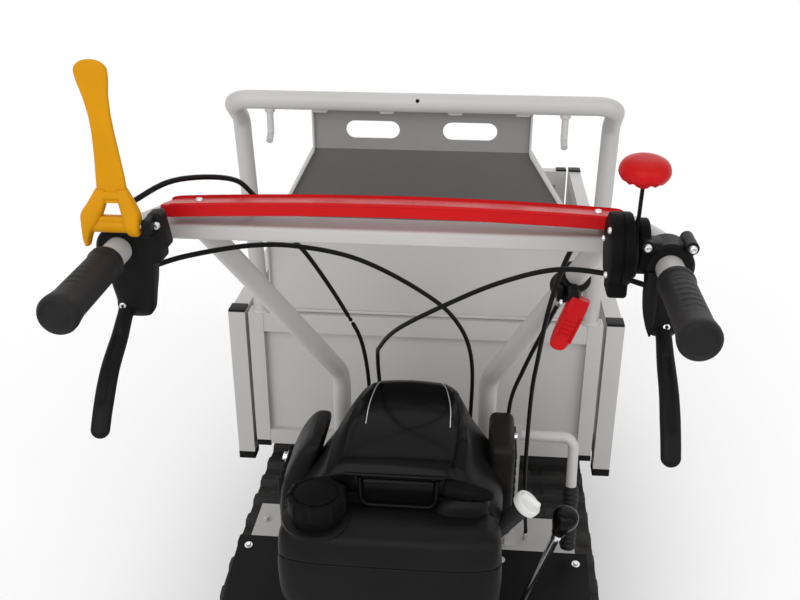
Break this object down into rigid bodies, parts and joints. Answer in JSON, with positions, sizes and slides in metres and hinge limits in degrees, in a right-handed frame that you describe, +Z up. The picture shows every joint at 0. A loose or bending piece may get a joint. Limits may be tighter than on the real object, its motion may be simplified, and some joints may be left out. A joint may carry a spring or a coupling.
{
  "type": "tracked power barrow",
  "caption": "Walk-behind rubber-tracked power barrow: engine, handlebar controls and a forward-tipping load bed with sliding sides on a tracked undercarriage.",
  "frame": {"origin": "on the ground, at the middle of the machine's footprint", "axes": "+Z up, +Y forwards to the tipping end of the bed, +X to the operator's right"},
  "size_m": [0.69, 1.6902, 1.213],
  "materials": {
    "painted_steel": "semi-gloss powder coat",
    "black_plastic": "fine textured moulding",
    "gloss_black": "glossy moulding",
    "rubber": "matt rubber",
    "red_plastic": "glossy red moulding",
    "amber_plastic": "semi-gloss amber moulding",
    "bare_steel": "machined steel",
    "chromed_steel": "bright plating",
    "cast_housing": "painted casting",
    "grey_plastic": "light grey moulding"
  },
  "bodies": {
    "chassis": {"chassis_frame": "painted_steel", "left_track_guard": "gloss_black", "right_track_guard": "gloss_black", "gearbox_housing": "cast_housing", "left_track_frame": "painted_steel", "right_track_frame": "painted_steel", "left_track_belt": "rubber", "right_track_belt": "rubber", "engine_block": "cast_housing", "engine_shroud": "black_plastic", "fuel_tank": "gloss_black", "air_filter_cover": "black_plastic", "muffler": "bare_steel", "drive_belt": "rubber", "handlebar_frame": "painted_steel", "console": "red_plastic", "left_grip": "rubber", "right_grip": "rubber", "left_lever_bracket": "black_plastic", "right_lever_bracket": "black_plastic", "throttle_housing": "black_plastic", "release_bracket": "black_plastic", "clutch_cable": "black_plastic", "left_steering_cable": "black_plastic", "right_steering_cable": "black_plastic", "throttle_cable": "black_plastic", "release_cable": "black_plastic", "tip_shaft": "bare_steel"},
    "bed": {"bed_floor": "painted_steel", "rear_frame": "painted_steel", "headboard": "painted_steel", "hoop": "painted_steel"},
    "left_side": {"left_side": "painted_steel"},
    "right_side": {"right_side": "painted_steel"},
    "front_gate": {"front_gate": "painted_steel"},
    "clutch_lever": {"clutch_lever": "amber_plastic"},
    "tensioner_arm": {"tensioner_arm": "bare_steel"},
    "throttle": {"throttle_lever": "black_plastic", "throttle_knob": "red_plastic"},
    "release_trigger": {"release_trigger": "red_plastic"},
    "tip_latch": {"tip_latch": "bare_steel"},
    "shift": {"shift_lever": "chromed_steel", "shift_knob": "black_plastic"},
    "lock": {"lock_lever": "painted_steel", "lock_grip": "rubber"},
    "fuel_cap": {"fuel_cap": "black_plastic"},
    "oil_cap": {"oil_cap": "grey_plastic"},
    "starter_grip": {"starter_grip": "black_plastic"},
    "drive_pulley": {"drive_pulley": "bare_steel"},
    "gearbox_pulley": {"gearbox_pulley": "bare_steel"},
    "left_steering_lever": {"left_steering_lever": "black_plastic"},
    "left_drive_sprocket": {"left_drive_sprocket": "bare_steel"},
    "left_front_idler": {"left_front_idler": "rubber"},
    "left_front_roller": {"left_front_roller": "rubber"},
    "left_rear_roller": {"left_rear_roller": "rubber"},
    "right_steering_lever": {"right_steering_lever": "black_plastic"},
    "right_drive_sprocket": {"right_drive_sprocket": "bare_steel"},
    "right_front_idler": {"right_front_idler": "rubber"},
    "right_front_roller": {"right_front_roller": "rubber"},
    "right_rear_roller": {"right_rear_roller": "rubber"}
  },
  "joints": [
    {"name": "bed_tip", "type": "hinge", "parent": "chassis", "child": "bed", "pos_m": [0, 0.53212, 0.34], "axis": [-1, 0, 0], "range_deg": [0, 55]},
    {"name": "left_side_slide", "type": "slide", "parent": "bed", "child": "left_side", "axis": [-1, 0, 0], "range_m": [0, 0.15]},
    {"name": "right_side_slide", "type": "slide", "parent": "bed", "child": "right_side", "axis": [1, 0, 0], "range_m": [0, 0.15]},
    {"name": "front_gate_slide", "type": "slide", "parent": "bed", "child": "front_gate", "axis": [0, 1, 0], "range_m": [0, 0.1]},
    {"name": "clutch_close", "type": "hinge", "parent": "chassis", "child": "clutch_lever", "pos_m": [-0.27725, -0.70038, 1.048], "axis": [1, 0, 0], "range_deg": [0, 75], "stiffness_Nm_per_rad": 0.4},
    {"name": "tensioner_swing", "type": "hinge", "parent": "chassis", "child": "tensioner_arm", "pos_m": [0.085, -0.49788, 0.33], "axis": [0, 0, 1], "range_deg": [0, 5]},
    {"name": "throttle_turn", "type": "hinge", "parent": "chassis", "child": "throttle", "pos_m": [0.2415, -0.67288, 1.025], "axis": [1, 0, 0], "range_deg": [-30, 30]},
    {"name": "release_pull", "type": "hinge", "parent": "chassis", "child": "release_trigger", "pos_m": [0.2065, -0.51788, 0.898], "axis": [1, 0, 0], "range_deg": [0, 18], "stiffness_Nm_per_rad": 0.3},
    {"name": "latch_swing", "type": "hinge", "parent": "chassis", "child": "tip_latch", "pos_m": [0.03, -0.08988, 0.346], "axis": [1, 0, 0], "range_deg": [0, 20]},
    {"name": "gear_shift", "type": "hinge", "parent": "chassis", "child": "shift", "pos_m": [0.16, -0.47288, 0.3393], "axis": [1, 0, 0], "range_deg": [-10, 10]},
    {"name": "lock_swing", "type": "hinge", "parent": "chassis", "child": "lock", "pos_m": [0.158, -0.32388, 0.585], "axis": [-1, 0, 0], "range_deg": [0, 40]},
    {"name": "fuel_cap_turn", "type": "hinge", "parent": "chassis", "child": "fuel_cap", "pos_m": [-0.105, -0.57788, 0.6003], "axis": [0, 0, 1], "range_deg": [0, 90]},
    {"name": "oil_cap_turn", "type": "hinge", "parent": "chassis", "child": "oil_cap", "pos_m": [0.163, -0.51288, 0.59], "axis": [0.6005, -0.0883, 0.7947], "range_deg": [0, 90]},
    {"name": "starter_pull", "type": "slide", "parent": "chassis", "child": "starter_grip", "axis": [0, -0.6, 0.8], "range_m": [0, 0.35], "stiffness_N_per_m": 15},
    {"name": "gearbox_pulley_spin", "type": "hinge", "parent": "chassis", "child": "gearbox_pulley", "pos_m": [-0.01, -0.31288, 0.33], "axis": [0, 0, 1], "continuous": true},
    {"name": "drive_pulley_spin", "type": "hinge", "parent": "chassis", "child": "drive_pulley", "pos_m": [-0.01, -0.47788, 0.33], "axis": [0, 0, 1], "continuous": true},
    {"name": "left_lever_pull", "type": "hinge", "parent": "chassis", "child": "left_steering_lever", "pos_m": [-0.282, -0.67088, 0.95], "axis": [-1, 0, 0], "range_deg": [0, 22], "stiffness_Nm_per_rad": 0.4},
    {"name": "left_sprocket_spin", "type": "hinge", "parent": "chassis", "child": "left_drive_sprocket", "pos_m": [-0.215, -0.34788, 0.16], "axis": [1, 0, 0], "continuous": true},
    {"name": "left_idler_spin", "type": "hinge", "parent": "chassis", "child": "left_front_idler", "pos_m": [-0.215, 0.33212, 0.16], "axis": [1, 0, 0], "continuous": true},
    {"name": "left_rear_roller_spin", "type": "hinge", "parent": "chassis", "child": "left_rear_roller", "pos_m": [-0.215, -0.10788, 0.0783], "axis": [1, 0, 0], "continuous": true},
    {"name": "left_front_roller_spin", "type": "hinge", "parent": "chassis", "child": "left_front_roller", "pos_m": [-0.215, 0.11212, 0.0783], "axis": [1, 0, 0], "continuous": true},
    {"name": "right_lever_pull", "type": "hinge", "parent": "chassis", "child": "right_steering_lever", "pos_m": [0.282, -0.67088, 0.95], "axis": [-1, 0, 0], "range_deg": [0, 22], "stiffness_Nm_per_rad": 0.4},
    {"name": "right_sprocket_spin", "type": "hinge", "parent": "chassis", "child": "right_drive_sprocket", "pos_m": [0.215, -0.34788, 0.16], "axis": [1, 0, 0], "continuous": true},
    {"name": "right_idler_spin", "type": "hinge", "parent": "chassis", "child": "right_front_idler", "pos_m": [0.215, 0.33212, 0.16], "axis": [1, 0, 0], "continuous": true},
    {"name": "right_rear_roller_spin", "type": "hinge", "parent": "chassis", "child": "right_rear_roller", "pos_m": [0.215, -0.10788, 0.0783], "axis": [1, 0, 0], "continuous": true},
    {"name": "right_front_roller_spin", "type": "hinge", "parent": "chassis", "child": "right_front_roller", "pos_m": [0.215, 0.11212, 0.0783], "axis": [1, 0, 0], "continuous": true}
  ],
  "couplings": [
    {"joint": "tensioner_swing", "follows": "clutch_close", "ratio": 0.064},
    {"joint": "latch_swing", "follows": "release_pull", "ratio": 1},
    {"joint": "drive_pulley_spin", "follows": "gearbox_pulley_spin", "ratio": 1.625},
    {"joint": "left_idler_spin", "follows": "left_sprocket_spin", "ratio": 1.0154},
    {"joint": "left_rear_roller_spin", "follows": "left_sprocket_spin", "ratio": 2.64},
    {"joint": "left_front_roller_spin", "follows": "left_sprocket_spin", "ratio": 2.64},
    {"joint": "right_idler_spin", "follows": "right_sprocket_spin", "ratio": 1.0154},
    {"joint": "right_rear_roller_spin", "follows": "right_sprocket_spin", "ratio": 2.64},
    {"joint": "right_front_roller_spin", "follows": "right_sprocket_spin", "ratio": 2.64}
  ]
}
